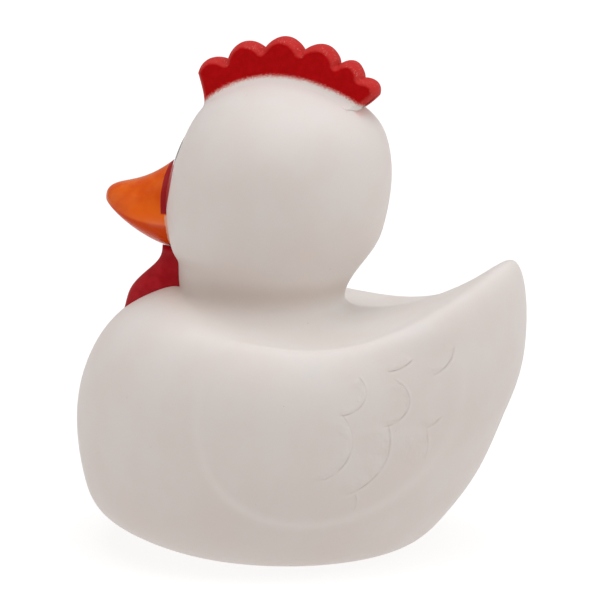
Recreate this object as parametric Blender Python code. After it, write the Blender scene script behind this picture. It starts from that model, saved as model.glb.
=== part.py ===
"""A squeaking rubber bath toy: a hen with a round head, a dished back and an upturned tail.

The skin is one hollow casting in soft vinyl, open only at the hole for the squeaker in its base. The comb,
beak, wattles, face patch and eyes are the painted zones of that casting, each a solid of its own, set off by
a hairline gap. Inside the base sit the squeaker, built from its cup, reed seat, reed and clamp, and a steel
ring on a glue pad, which keeps the toy upright in water.

Metres, +Z up. The hen faces -Y and stands on Z = 0, with the origin under the middle of its length.
"""

import math

import bmesh
import bpy
import numpy as np
from mathutils import Matrix, Vector

MM = 0.001

# Overall sizes of the body.
BODY_WIDTH = 71.0 * MM
BODY_LENGTH = 79.8 * MM
BACK_HEIGHT = 41.0 * MM

# Neck and head.
NECK_RADIUS = 15.5 * MM
NECK_FORWARD = 4.6 * MM
HEAD_RADIUS = 19.6 * MM
HEAD_FORWARD = 1.7 * MM
HEAD_ABOVE_BACK = 22.6 * MM
HEAD_FLATTENING = 0.7 * MM

# Skin.
WALL = 2.5 * MM
BASE_THICKNESS = 3.6 * MM
PIECE_GAP = 0.3 * MM
PAINT_THICKNESS = 0.5 * MM
FLAT_BELOW = 0.05 * MM

# Comb, a lobed crest along the middle of the head. Places along it are counted in lobes from the first one's
# middle. Its last lobes stand closer together and part less deeply.
COMB_HEIGHT = 6.5 * MM
COMB_LOBE_DEPTH = 2.1 * MM
COMB_END_DROP = 1.1 * MM
COMB_THICKNESS = 6.2 * MM
COMB_LOBES = 6
COMB_FIRST_LOBE_DEG = -32.5
COMB_SPREAD_DEG = 16.8
COMB_CROWDING_DEG = 5.2
COMB_CROWDED_FROM = 3.4
COMB_LAST_NOTCH_LOSS = 0.45
COMB_BACKSET = 0.7 * MM
COMB_TALLEST_LOBE = 2.2
COMB_START = -0.85
COMB_END = 5.6
COMB_FRONT_RUN = 0.62
COMB_BACK_RUN = 0.35
COMB_NOTCH_SHARPNESS = 0.8
COMB_SIDE_SQUARENESS = 0.6
COMB_TOP_THINNING = 0.3

# Beak.
BEAK_LENGTH = 13.0 * MM
BEAK_WIDTH = 13.0 * MM
BEAK_UPPER_HEIGHT = 11.0 * MM
BEAK_LOWER_HEIGHT = 5.0 * MM
BEAK_BELOW_HEAD_CENTRE = 7.0 * MM
BEAK_SINK = 0.8 * MM
BEAK_TIP_RISE = 3.7 * MM
BEAK_ROOT_DEPTH = 3.2 * MM
BEAK_TIP_THICKNESS = 0.34
BEAK_TIP_BLUNTNESS = 6
BEAK_UPPER_FALL = 1.25
BEAK_LOWER_FALL = (1.3, 0.85)
BEAK_WIDTH_FALL = (2.6, 0.55)
BEAK_SIDE_SQUARENESS = 0.85

# Wattles, one on each side of the throat.
WATTLE_WIDTH = 6.1 * MM
WATTLE_DEPTH = 4.8 * MM
WATTLE_ROOT_DEPTH = 4.2 * MM
WATTLE_STANDOFF = 1.7 * MM
WATTLE_SINK = 0.4 * MM
WATTLE_BELOW_BEAK = 0.8 * MM
WATTLE_BOTTOM_ABOVE_BACK = 0.8 * MM
WATTLE_LOW_BULGE = 2.3
WATTLE_BLUNTNESS = 0.8

# Face patch over the root of the beak, and the eyes above it.
PATCH_WIDTH = 19.0 * MM
PATCH_HEIGHT = 12.6 * MM
PATCH_ABOVE_HEAD_CENTRE = 0.3 * MM
EYE_WIDTH = 5.0 * MM
EYE_HEIGHT = 7.2 * MM
EYE_BEARING_DEG = 15.5
EYE_ELEVATION_DEG = 17.5

# Squeaker. Its flange sits in a recess of the base, a little above the surface that the toy stands on.
FLANGE_RADIUS = 10.0 * MM
FLANGE_THICKNESS = 1.0 * MM
FLANGE_RELIEF = 0.3 * MM
CUP_RADIUS = 7.0 * MM
CUP_LENGTH = 14.0 * MM
CUP_WALL = 1.6 * MM
SNAP_BEAD_HEIGHT = 1.2 * MM
SNAP_BEAD_LENGTH = 2.4 * MM
SNAP_BEAD_CREST = 0.3
AIR_HOLE_RADIUS = 2.5 * MM
REED_THICKNESS = 0.3 * MM
REED_WIDTH = 4.4 * MM
REED_FREE_LENGTH = 6.0 * MM
REED_CLAMPED_LENGTH = 2.4 * MM
CHANNEL_WIDTH = 3.0 * MM
CHANNEL_DEPTH = 2.0 * MM
SEAT_LAND = 1.2 * MM

# Ballast ring on its glue pad, round the squeaker.
BALLAST_OUTER_RADIUS = 15.0 * MM
BALLAST_CLEARANCE = 1.2 * MM
BALLAST_THICKNESS = 2.4 * MM
GLUE_THICKNESS = 0.8 * MM

# The body's shape, in rows from the base up to the rim of the dished back. A row holds radii and heights
# at five bearings: front, 45 degrees, side, 135 degrees and back. The last two numbers of a row are the
# reach and rise that the tail adds. They are sizes on a body of the design sizes below.
DESIGN_WIDTH = 71.0
DESIGN_LENGTH = 79.8
DESIGN_BACK_HEIGHT = 41.0
BODY_ROWS = (
    ((14, 14, 14, 14, 14), (0, 0, 0, 0, 0), 0, 0),
    ((17.6, 17.6, 17.6, 17.6, 17.6), (0, 0, 0, 0, 0), 0, 0),
    ((25.4, 25.6, 25.6, 25, 24.2), (1.9, 1.9, 1.9, 1.9, 1.9), 0, 0),
    ((33, 32.6, 30.8, 29.3, 28.4), (6, 6, 6, 6, 6), 0, 0),
    ((36.2, 36, 34.3, 33.4, 33.2), (12.6, 12.6, 12.6, 12.6, 12.6), 0, 0),
    ((37.3, 37, 35.5, 36.4, 38.6), (24, 24, 24, 24, 24.5), 0, 0),
    ((34.7, 35, 34, 36.2, 41.1), (34, 34, 34.3, 34.2, 36.2), 1.1, 1.2),
    ((28, 29, 29, 31.8, 37.6), (42, 42.2, 40.8, 40.2, 43.3), 2.5, 8.5),
    ((21, 22, 24, 25.5, 29.5), (45.5, 45, 40.6, 39.4, 42.2), 2, 5.2),
)
# The foot of the neck and the neck, as shares of the neck's radius and as heights above the back.
NECK_ROWS = (
    ((0.955, 0.96, 0.95, 0.94, 0.94), (6.5, 6.2, 4.6, 2.6, 2)),
    ((0.955, 0.975, 0.99, 0.985, 0.98), (9, 8.4, 7.4, 6, 5.4)),
)
# Angles down from the crown, and the angle below which the head widens into the neck.
HEAD_ROW_ANGLES = (128, 110, 90, 70, 50, 30, 15)
CHEEK_ANGLE = 95.0
CHEEK_SPAN = 50.0
CHEEK_WIDENING = 3.2 * MM
# The brow is drawn in and the nape filled out round these angles, by these shares of the head's radius.
BROW_ANGLE = 64.0
BROW_SPAN = 20.0
BROW_SHARE = 0.075
NAPE_ANGLE = 48.0
NAPE_SPAN = 24.0
NAPE_SHARE = 0.135
# How tightly the tail's reach and rise keep to the middle of the back.
TAIL_SHARPNESS = 6.5

# How finely the round pieces are divided.
SKIN_SEGMENTS = 48
SKIN_RINGS = 46
CAVITY_SEGMENTS = 32
CAVITY_RINGS = 30
ROUND_SEGMENTS = 32
COMB_SECTIONS = 73
BEAK_SECTIONS = 14
BEAK_SEGMENTS = 20
WATTLE_RINGS = 12
WATTLE_SEGMENTS = 16

for old in list(bpy.data.objects):
    bpy.data.objects.remove(old, do_unlink=True)


# ---- shared steps ----------------------------------------------------------------------------------------

def make_material(name, colour, roughness, metallic=0.0):
    """A Principled material of one colour."""
    material = bpy.data.materials.new(name)
    material.use_nodes = True
    shader = material.node_tree.nodes["Principled BSDF"]
    shader.inputs["Base Color"].default_value = (*colour, 1.0)
    shader.inputs["Roughness"].default_value = roughness
    shader.inputs["Metallic"].default_value = metallic
    return material


def add_piece(name, bm, material=None, sharp_deg=35.0):
    """Link the mesh as an object; without a material it is a cutter or guide, which isn't a piece."""
    bmesh.ops.recalc_face_normals(bm, faces=bm.faces)
    mesh = bpy.data.meshes.new(name)
    bm.to_mesh(mesh)
    bm.free()
    piece = bpy.data.objects.new(name, mesh)
    bpy.context.collection.objects.link(piece)
    if material is None:
        piece.hide_render = True
        piece.display_type = "WIRE"
        return piece
    mesh.materials.append(material)
    mesh.shade_smooth()
    mesh.set_sharp_from_angle(angle=math.radians(sharp_deg))
    return piece


def cut(piece, other, operation="DIFFERENCE"):
    """Cut the piece with another object, or keep only what they share."""
    step = piece.modifiers.new(operation.lower(), "BOOLEAN")
    step.operation = operation
    step.solver = "EXACT"
    step.object = other


def closed_rings(points, first_pole=None, last_pole=None):
    """A closed body from rings of points, with a pole or a flat cap at each end."""
    bm = bmesh.new()
    rings = [[bm.verts.new(p) for p in ring] for ring in points]
    count = len(rings[0])
    for lower, upper in zip(rings, rings[1:]):
        for i in range(count):
            j = (i + 1) % count
            bm.faces.new((lower[i], lower[j], upper[j], upper[i]))
    for ring, pole in ((rings[0], first_pole), (rings[-1], last_pole)):
        if pole is None:
            bm.faces.new(ring)
            continue
        tip = bm.verts.new(pole)
        for i in range(count):
            bm.faces.new((ring[i], ring[(i + 1) % count], tip))
    return bm


def swollen(bm, distance):
    """The same body with every corner moved out along its normal."""
    bmesh.ops.recalc_face_normals(bm, faces=bm.faces)
    bm.normal_update()
    moved = [v.co + v.normal * distance for v in bm.verts]
    for v, place in zip(bm.verts, moved):
        v.co = place
    return bm


def turned(outline):
    """A body turned about Z from a closed outline of (radius, height) corners."""
    bm = bmesh.new()
    corners = [bm.verts.new((r, 0, z)) for r, z in outline]
    for a, b in zip(corners, corners[1:] + corners[:1]):
        bm.edges.new((a, b))
    bmesh.ops.spin(bm, geom=bm.verts[:] + bm.edges[:], axis=(0, 0, 1), cent=(0, 0, 0),
                   angle=math.tau, steps=ROUND_SEGMENTS, use_merge=True)
    bmesh.ops.remove_doubles(bm, verts=bm.verts, dist=0.001 * MM)
    return bm


def extruded(outline, low, high):
    """A straight bar along Z from a closed outline of (x, y) corners."""
    bm = bmesh.new()
    face = bm.faces.new([bm.verts.new((x, y, low)) for x, y in outline])
    grown = bmesh.ops.extrude_face_region(bm, geom=[face])
    top = [item for item in grown["geom"] if isinstance(item, bmesh.types.BMVert)]
    bmesh.ops.translate(bm, verts=top, vec=(0, 0, high - low))
    return bm


# ---- the skin's shape ------------------------------------------------------------------------------------

def round_the_axis(samples, bearings):
    """The cosine series through samples spaced evenly from the front (0) round to the back (pi)."""
    samples = np.asarray(samples, float)
    last = len(samples) - 1
    order = np.arange(last + 1)
    share = np.where((order == 0) | (order == last), 0.5, 1.0)
    waves = np.cos(np.outer(order, order) * math.pi / last)
    factors = 2.0 / last * share * (waves @ (share * samples))
    return np.cos(np.multiply.outer(bearings, order)) @ factors


def spline_weights(knots, places):
    """Weights by which a natural cubic spline through the knots mixes the rows at each place."""
    count = len(knots)
    step = np.diff(knots)
    system = np.eye(count)
    bend = np.zeros((count, count))
    for k in range(1, count - 1):
        system[k, k - 1:k + 2] = step[k - 1], 2 * (step[k - 1] + step[k]), step[k]
        bend[k, k - 1:k + 2] = 6 / step[k - 1], -6 / step[k - 1] - 6 / step[k], 6 / step[k]
    curvature = np.linalg.solve(system, bend)
    k = np.clip(np.searchsorted(knots, places, side="right") - 1, 0, count - 2)
    before = ((knots[k + 1] - places) / step[k])[:, None]
    after = 1 - before
    rows = np.eye(count)
    arch = (before ** 3 - before) * curvature[k] + (after ** 3 - after) * curvature[k + 1]
    return before * rows[k] + after * rows[k + 1] + arch * (step[k] ** 2)[:, None] / 6


def skin_rows(bearings, tail):
    """Rows of points from the base to the crown, about the body's own axis, at the given bearings."""
    wide = BODY_WIDTH / DESIGN_WIDTH
    long = BODY_LENGTH / DESIGN_LENGTH
    high = BACK_HEIGHT / DESIGN_BACK_HEIGHT
    tail_share = tail * np.exp(TAIL_SHARPNESS * (-np.cos(bearings) - 1))
    across = np.sin(bearings)
    ahead = -np.cos(bearings)
    rows = []
    for radii, heights, reach, rise in BODY_ROWS:
        radius = round_the_axis(radii, bearings) + reach * tail_share
        height = round_the_axis(heights, bearings) + rise * tail_share
        rows.append((radius * across * wide, radius * ahead * long, height * high))
    for shares, heights in NECK_ROWS:
        radius = NECK_RADIUS * round_the_axis(shares, bearings)
        height = BACK_HEIGHT + MM * round_the_axis(heights, bearings)
        rows.append((radius * across, radius * ahead - NECK_FORWARD, height))
    for angle in HEAD_ROW_ANGLES:
        low = max(0.0, (angle - CHEEK_ANGLE) / CHEEK_SPAN)
        radius = HEAD_RADIUS * math.sin(math.radians(angle)) + CHEEK_WIDENING * low ** 1.5
        brow = BROW_SHARE * math.exp(-((angle - BROW_ANGLE) / BROW_SPAN) ** 2)
        nape = NAPE_SHARE * math.exp(-((angle - NAPE_ANGLE) / NAPE_SPAN) ** 2)
        shares = (1 - brow - 0.05 * low, 1 - brow / 2, 1, 1 + nape / 2 + 0.05 * low, 1 + nape + 0.09 * low)
        radius = radius * round_the_axis(shares, bearings)
        forward = HEAD_FORWARD + (NECK_FORWARD - HEAD_FORWARD) * low
        height = HEAD_HEIGHT + (HEAD_RADIUS - HEAD_FLATTENING) * math.cos(math.radians(angle))
        rows.append((radius * across, radius * ahead - forward, np.full_like(radius, height)))
    return np.array([np.stack(row, -1) for row in rows])


def inset_rows(rows, bearings, distance):
    """Move each row inwards, square to the profile that joins its two neighbours."""
    out = np.stack([np.sin(bearings), -np.cos(bearings)], -1)
    centre = rows.mean(1, keepdims=True)[..., :2]
    reach = ((rows[..., :2] - centre) * out).sum(-1)
    padded_reach = np.vstack([0 * reach[:1], reach, 0 * reach[:1]])
    tops = np.vstack([rows[:1, :, 2], rows[..., 2], np.full_like(rows[:1, :, 2], CROWN_HEIGHT)])
    run = padded_reach[2:] - padded_reach[:-2]
    climb = tops[2:] - tops[:-2]
    size = np.hypot(run, climb)
    moved = rows.copy()
    moved[..., :2] -= (distance * climb / size)[..., None] * out
    moved[..., 2] += distance * run / size
    return moved


def skin_body(segments, rings, inset=0.0, tail=1.0):
    """The hen's closed outer surface, or with an inset the surface of the hollow inside it."""
    bearings = np.arange(segments) * math.tau / segments
    rows = skin_rows(bearings, tail)
    floor = 0.0
    crown = CROWN_HEIGHT
    if inset:
        rows = inset_rows(rows, bearings, inset)
        floor = BASE_THICKNESS
        crown = CROWN_HEIGHT - inset
    base_pole = np.array([0, 0, floor])
    crown_pole = np.array([0, -HEAD_FORWARD, crown])
    mirror = np.array([-1, -1, 1])
    under = rows[:1] * mirror
    over = (rows[-1:] - crown_pole) * mirror + crown_pole
    whole = np.concatenate([under, np.broadcast_to(base_pole, under.shape), rows,
                            np.broadcast_to(crown_pole, over.shape), over])
    knots = np.append(0, np.cumsum(np.linalg.norm(np.diff(whole, axis=0), axis=-1).mean(-1)))
    places = np.linspace(knots[1], knots[-2], rings + 2)[1:-1]
    points = np.einsum("pr,rsc->psc", spline_weights(knots, places), whole)
    points[..., 2] = np.where(points[..., 2] < floor + FLAT_BELOW, floor, points[..., 2])
    return points, base_pole, crown_pole


HEAD_HEIGHT = BACK_HEIGHT + HEAD_ABOVE_BACK
CROWN_HEIGHT = HEAD_HEIGHT + HEAD_RADIUS - HEAD_FLATTENING
skin_points, skin_foot, skin_crown = skin_body(SKIN_SEGMENTS, SKIN_RINGS)
BODY_AXIS_Y = -(skin_points[..., 1].min() + skin_points[..., 1].max()) / 2
HEAD_CENTRE = Vector((0, BODY_AXIS_Y - HEAD_FORWARD, HEAD_HEIGHT))


def placed(points, foot, crown):
    """Rings and poles as a closed body, shifted so that the origin is under the middle of the length."""
    shift = np.array([0, BODY_AXIS_Y, 0])
    return closed_rings(points + shift, foot + shift, crown + shift)


def outer_skin(distance=0.0):
    """The hen's outer surface, moved out by a distance."""
    bm = placed(skin_points, skin_foot, skin_crown)
    return swollen(bm, distance) if distance else bm


def front_of_skin(height):
    """How far forward the outer surface reaches at a height, on the middle line."""
    front = skin_points[:, 0] + np.array([0, BODY_AXIS_Y, 0])
    order = np.argsort(front[:, 2])
    return float(np.interp(height, front[order, 2], front[order, 1]))


# ---- body shell ------------------------------------------------------------------------------------------

def build_body_shell():
    """One casting with a squeaker hole in its base and a recess round it for the flange."""
    vinyl = make_material("white_vinyl", (0.80, 0.77, 0.74), 0.55)
    shell = add_piece("body_shell", outer_skin(), vinyl)
    cavity = add_piece("cavity", placed(*skin_body(CAVITY_SEGMENTS, CAVITY_RINGS, WALL, tail=0.0)))
    recess_radius = FLANGE_RADIUS + PIECE_GAP
    recess_top = FLANGE_RELIEF + FLANGE_THICKNESS + PIECE_GAP
    hole_radius = CUP_RADIUS + PIECE_GAP
    above_floor = BASE_THICKNESS + WALL
    opening = add_piece("squeaker_opening", turned(
        [(0, -WALL), (recess_radius, -WALL), (recess_radius, recess_top), (hole_radius, recess_top),
         (hole_radius, above_floor), (0, above_floor)]))
    cut(shell, cavity)
    cut(shell, opening)


build_body_shell()
skin_gap = add_piece("skin_gap", outer_skin(PIECE_GAP))
paint_face = add_piece("paint_face", outer_skin(PIECE_GAP + PAINT_THICKNESS))


# ---- comb ------------------------------------------------------------------------------------------------

def build_comb():
    """A crest of rounded lobes. Its front edge sweeps up from the brow and its back edge stands steep."""
    place = np.linspace(COMB_START, COMB_END, COMB_SECTIONS + 2)[1:-1]
    crowding = COMB_CROWDING_DEG * np.maximum(place - COMB_CROWDED_FROM, 0)
    along = np.radians(COMB_FIRST_LOBE_DEG + COMB_SPREAD_DEG * place - crowding)
    notched = 1 - np.abs(np.cos(math.pi * np.maximum(place, -0.5))) ** COMB_NOTCH_SHARPNESS
    notched *= 1 - COMB_LAST_NOTCH_LOSS * np.clip(place - COMB_CROWDED_FROM, 0, 1)
    lobed = COMB_HEIGHT - COMB_LOBE_DEPTH * notched
    lobed -= COMB_END_DROP * ((place - COMB_TALLEST_LOBE) / (COMB_LOBES / 2)) ** 2
    front_edge = COMB_HEIGHT * ((place - place[0]) / COMB_FRONT_RUN) ** 2
    back_edge = COMB_HEIGHT * np.sqrt((COMB_END - place) / COMB_BACK_RUN)
    top = np.minimum(lobed, np.minimum(front_edge, back_edge))
    root = HEAD_RADIUS - WALL / 2
    across = np.linspace(0, math.pi, 9)
    half = COMB_THICKNESS / 2 * (top / COMB_HEIGHT)[:, None] ** COMB_TOP_THINNING
    side = half * (np.sign(np.cos(across)) * np.abs(np.cos(across)) ** COMB_SIDE_SQUARENESS)
    radius = root + (top[:, None] + WALL / 2) * np.sin(across) ** COMB_SIDE_SQUARENESS
    points = np.stack([side, HEAD_CENTRE.y + COMB_BACKSET + radius * np.sin(along)[:, None],
                       HEAD_CENTRE.z + radius * np.cos(along)[:, None]], -1)
    comb = add_piece("comb", closed_rings(points), make_material("comb_red", (0.38, 0.004, 0.008), 0.42))
    cut(comb, skin_gap)


build_comb()


# ---- beak ------------------------------------------------------------------------------------------------

def beak_body():
    """Cross-sections from inside the head out to the rounded tip, widest along the line of the mouth."""
    root = HEAD_CENTRE.y - HEAD_RADIUS + BEAK_SINK + BEAK_ROOT_DEPTH
    reach = BEAK_LENGTH + BEAK_ROOT_DEPTH
    share = np.sin(np.linspace(0, 1, BEAK_SECTIONS + 1)[:-1] * math.pi / 2)
    out = np.clip((share * reach - BEAK_ROOT_DEPTH) / BEAK_LENGTH, 0, 1)
    mouth = HEAD_CENTRE.z - BEAK_BELOW_HEAD_CENTRE + BEAK_TIP_RISE * out ** 2
    tip = BEAK_TIP_THICKNESS * out * np.sqrt(1 - out ** BEAK_TIP_BLUNTNESS)
    upper = BEAK_UPPER_HEIGHT * ((1 - out) ** BEAK_UPPER_FALL + tip)
    lower = BEAK_LOWER_HEIGHT * (1 - out ** BEAK_LOWER_FALL[0]) ** BEAK_LOWER_FALL[1]
    half = BEAK_WIDTH / 2 * (1 - out ** BEAK_WIDTH_FALL[0]) ** BEAK_WIDTH_FALL[1]
    turn = np.arange(BEAK_SEGMENTS) * math.tau / BEAK_SEGMENTS
    side = np.sign(np.cos(turn)) * np.abs(np.cos(turn)) ** BEAK_SIDE_SQUARENESS
    lift = np.sin(turn)
    height = np.where(lift > 0, upper[:, None], lower[:, None]) * lift
    points = np.stack([half[:, None] * side, np.broadcast_to((root - share * reach)[:, None], height.shape),
                       mouth[:, None] + height], -1)
    return closed_rings(points, last_pole=(0, root - reach, mouth[-1]))


beak = add_piece("beak", beak_body(), make_material("beak_orange", (0.80, 0.13, 0.012), 0.25))
cut(beak, skin_gap)
beak_gap = add_piece("beak_gap", swollen(beak_body(), PIECE_GAP))


# ---- wattles ---------------------------------------------------------------------------------------------

def wattle_body(side):
    """A drop, rounder below, along a line from under the beak down to the chest."""
    top_z = HEAD_CENTRE.z - BEAK_BELOW_HEAD_CENTRE - BEAK_LOWER_HEIGHT - WATTLE_BELOW_BEAK
    low_z = BACK_HEIGHT + WATTLE_BOTTOM_ABOVE_BACK
    aside = side * (WATTLE_WIDTH + PIECE_GAP) / 2
    top = Vector((aside, front_of_skin(top_z) - WATTLE_STANDOFF, top_z))
    low = Vector((aside, front_of_skin(low_z) + WATTLE_SINK, low_z))
    along = (low - top).normalized()
    across = Vector((1, 0, 0))
    outward = along.cross(across)
    overrun = along * WATTLE_DEPTH / 4
    rings = []
    for k in range(1, WATTLE_RINGS):
        share = (1 - math.cos(math.pi * k / WATTLE_RINGS)) / 2
        swell = math.sin(math.pi * share ** WATTLE_LOW_BULGE) ** WATTLE_BLUNTNESS
        centre = top + (low - top) * share + overrun * (2 * share - 1)
        wide = across * WATTLE_WIDTH / 2 * swell
        proud = outward * WATTLE_DEPTH / 2 * swell
        rooted = outward * WATTLE_ROOT_DEPTH * swell
        turns = np.arange(WATTLE_SEGMENTS) * math.tau / WATTLE_SEGMENTS
        rings.append([centre + wide * math.cos(a) + (proud if a < math.pi else rooted) * math.sin(a)
                      for a in turns])
    return closed_rings(rings, top - overrun, low + overrun)


crimson = make_material("wattle_red", (0.36, 0.008, 0.018), 0.35)
wattle_gaps = []
for side, name in ((1, "wattle_left"), (-1, "wattle_right")):
    wattle = add_piece(name, wattle_body(side), crimson)
    cut(wattle, skin_gap)
    cut(wattle, beak_gap)
    wattle_gaps.append(add_piece(name + "_gap", swollen(wattle_body(side), PIECE_GAP)))


# ---- eyes and face patch ---------------------------------------------------------------------------------

def oval_plug(width, height, direction, centre):
    """An oval bar from inside the head out through its skin, along a direction."""
    bm = bmesh.new()
    bmesh.ops.create_cone(bm, cap_ends=True, segments=ROUND_SEGMENTS, radius1=0.5, radius2=0.5, depth=1.0)
    turn = direction.to_track_quat("Z", "Y").to_matrix().to_4x4()
    size = Matrix.Diagonal((width, height, HEAD_RADIUS, 1))
    middle = Matrix.Translation(centre + direction * HEAD_RADIUS)
    bmesh.ops.transform(bm, matrix=middle @ turn @ size, verts=bm.verts)
    return bm


def eye_direction(side):
    """Out of the head's centre through the middle of an eye."""
    bearing = math.radians(EYE_BEARING_DEG)
    lift = math.radians(EYE_ELEVATION_DEG)
    return Vector((side * math.sin(bearing) * math.cos(lift), -math.cos(bearing) * math.cos(lift),
                   math.sin(lift)))


black = make_material("eye_black", (0.012, 0.010, 0.010), 0.12)
eye_gaps = []
for side, name in ((1, "eye_left"), (-1, "eye_right")):
    way = eye_direction(side)
    eye = add_piece(name, oval_plug(EYE_WIDTH, EYE_HEIGHT, way, HEAD_CENTRE), black)
    cut(eye, paint_face, "INTERSECT")
    cut(eye, skin_gap)
    cut(eye, beak_gap)
    eye_gaps.append(add_piece(name + "_gap", oval_plug(EYE_WIDTH + 2 * PIECE_GAP, EYE_HEIGHT + 2 * PIECE_GAP,
                                                       way, HEAD_CENTRE)))

patch_centre = HEAD_CENTRE + Vector((0, 0, PATCH_ABOVE_HEAD_CENTRE))
patch = add_piece("face_patch", oval_plug(PATCH_WIDTH, PATCH_HEIGHT, Vector((0, -1, 0)), patch_centre),
                  make_material("face_red", (0.40, 0.012, 0.020), 0.40))
cut(patch, paint_face, "INTERSECT")
cut(patch, skin_gap)
cut(patch, beak_gap)
for gap in eye_gaps + wattle_gaps:
    cut(patch, gap)


# ---- squeaker --------------------------------------------------------------------------------------------

def half_round(radius, flat, side, segments=14):
    """Outline of a rod split along its length, with its flat face a little off the middle."""
    limit = math.acos(flat / radius)
    angles = [-limit + 2 * limit * k / segments for k in range(segments + 1)]
    return [(side * radius * math.cos(a), radius * math.sin(a)) for a in angles]


CUP_BORE = CUP_RADIUS - CUP_WALL
CUP_FLOOR_TOP = FLANGE_RELIEF + CUP_WALL
SEAT_BOTTOM = CUP_FLOOR_TOP + PIECE_GAP
REED_TIP = SEAT_BOTTOM + SEAT_LAND / 2
REED_HINGE = REED_TIP + REED_FREE_LENGTH
REED_TOP = REED_HINGE + REED_CLAMPED_LENGTH
CLAMP_FACE = REED_THICKNESS / 2 + PIECE_GAP


def build_squeaker():
    """A push-in cup with an air hole, and in its bore a reed pinched between a seat and a clamp."""
    styrene = make_material("squeaker_white", (0.74, 0.72, 0.66), 0.35)
    flange_top = FLANGE_RELIEF + FLANGE_THICKNESS
    bead_low = BASE_THICKNESS + PIECE_GAP
    bead_crest = bead_low + SNAP_BEAD_CREST * SNAP_BEAD_LENGTH
    bead_high = bead_low + SNAP_BEAD_LENGTH
    cup_top = FLANGE_RELIEF + CUP_LENGTH
    bead_radius = CUP_RADIUS + SNAP_BEAD_HEIGHT
    add_piece("squeaker_cup", turned([
        (AIR_HOLE_RADIUS, FLANGE_RELIEF), (FLANGE_RADIUS, FLANGE_RELIEF), (FLANGE_RADIUS, flange_top),
        (CUP_RADIUS, flange_top), (CUP_RADIUS, bead_low), (bead_radius, bead_crest),
        (CUP_RADIUS, bead_high), (CUP_RADIUS, cup_top), (CUP_BORE, cup_top), (CUP_BORE, CUP_FLOOR_TOP),
        (AIR_HOLE_RADIUS, CUP_FLOOR_TOP)]), styrene)

    rod = CUP_BORE - PIECE_GAP
    seat = add_piece("reed_seat", extruded(half_round(rod, CLAMP_FACE, -1), SEAT_BOTTOM, REED_TOP),
                     make_material("seat_white", (0.70, 0.70, 0.68), 0.40))
    channel_end = CLAMP_FACE + CHANNEL_DEPTH
    half_channel = CHANNEL_WIDTH / 2
    channel = add_piece("air_channel", extruded(
        [(0, -half_channel), (0, half_channel), (-channel_end, half_channel), (-channel_end, -half_channel)],
        SEAT_BOTTOM + SEAT_LAND, REED_TOP + CUP_WALL))
    cut(seat, channel)

    add_piece("reed_clamp", extruded(half_round(rod, CLAMP_FACE, 1), REED_HINGE, REED_TOP),
              make_material("clamp_white", (0.72, 0.71, 0.69), 0.40))

    half_reed = REED_THICKNESS / 2
    half_width = REED_WIDTH / 2
    strip = [(-half_reed, -half_width), (half_reed, -half_width), (half_reed, half_width),
             (-half_reed, half_width)]
    reed = add_piece("reed", extruded(strip, REED_TIP - REED_HINGE, REED_TOP - REED_HINGE),
                     make_material("reed_brass", (0.72, 0.50, 0.18), 0.3, 1.0))
    reed.location = (0, 0, REED_HINGE)


build_squeaker()


# ---- ballast ---------------------------------------------------------------------------------------------

def build_ballast():
    """A flat steel ring round the squeaker, on a pad of glue on the floor of the hollow."""
    bore = CUP_RADIUS + SNAP_BEAD_HEIGHT + BALLAST_CLEARANCE
    glue_low = BASE_THICKNESS + PIECE_GAP
    glue_high = glue_low + GLUE_THICKNESS
    ring_low = glue_high + PIECE_GAP
    ring_high = ring_low + BALLAST_THICKNESS
    glue = make_material("glue_amber", (0.62, 0.50, 0.28), 0.30)
    steel = make_material("ballast_steel", (0.46, 0.46, 0.47), 0.40, 1.0)
    for name, low, high, material in (("ballast_glue_pad", glue_low, glue_high, glue),
                                      ("ballast_ring", ring_low, ring_high, steel)):
        add_piece(name, turned([(bore, low), (BALLAST_OUTER_RADIUS, low), (BALLAST_OUTER_RADIUS, high),
                                (bore, high)]), material)


build_ballast()
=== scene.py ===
"""The looks of a squeaking bath toy: a hen of soft white vinyl with a painted comb, beak, wattles and face.

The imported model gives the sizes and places. The skin, comb, beak, wattles, face patch, eyes and squeaker cup
are finer surfaces that stand for its plain solids, and the reed and ballast keep theirs. Surfaces are worked
out in millimetres and put into their meshes in metres.
"""

import math

import bpy
import numpy as np
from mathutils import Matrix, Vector


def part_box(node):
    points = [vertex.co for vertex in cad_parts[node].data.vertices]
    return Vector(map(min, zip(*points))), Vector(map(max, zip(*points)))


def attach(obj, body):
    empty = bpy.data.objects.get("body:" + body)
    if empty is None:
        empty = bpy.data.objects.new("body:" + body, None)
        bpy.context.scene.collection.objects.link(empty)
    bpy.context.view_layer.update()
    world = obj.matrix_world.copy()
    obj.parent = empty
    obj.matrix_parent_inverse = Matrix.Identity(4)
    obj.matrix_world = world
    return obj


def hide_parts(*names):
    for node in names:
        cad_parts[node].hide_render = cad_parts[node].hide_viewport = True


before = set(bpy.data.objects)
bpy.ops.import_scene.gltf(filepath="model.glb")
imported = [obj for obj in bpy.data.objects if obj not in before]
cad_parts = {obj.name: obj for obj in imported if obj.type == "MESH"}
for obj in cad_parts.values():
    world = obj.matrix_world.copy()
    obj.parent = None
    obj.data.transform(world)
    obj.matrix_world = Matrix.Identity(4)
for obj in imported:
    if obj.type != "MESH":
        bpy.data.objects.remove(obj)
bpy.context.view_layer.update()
MM = 0.001


# ---- moulded skin ----
# The real piece is one hollow casting in soft white vinyl, cast in a closed hot mould and pulled out of it
# through the squeaker's hole. The wings and their feathers are shallow relief cut into the mould, so the
# edges are soft, and the surface keeps the mould's fine matt grain.

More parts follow.
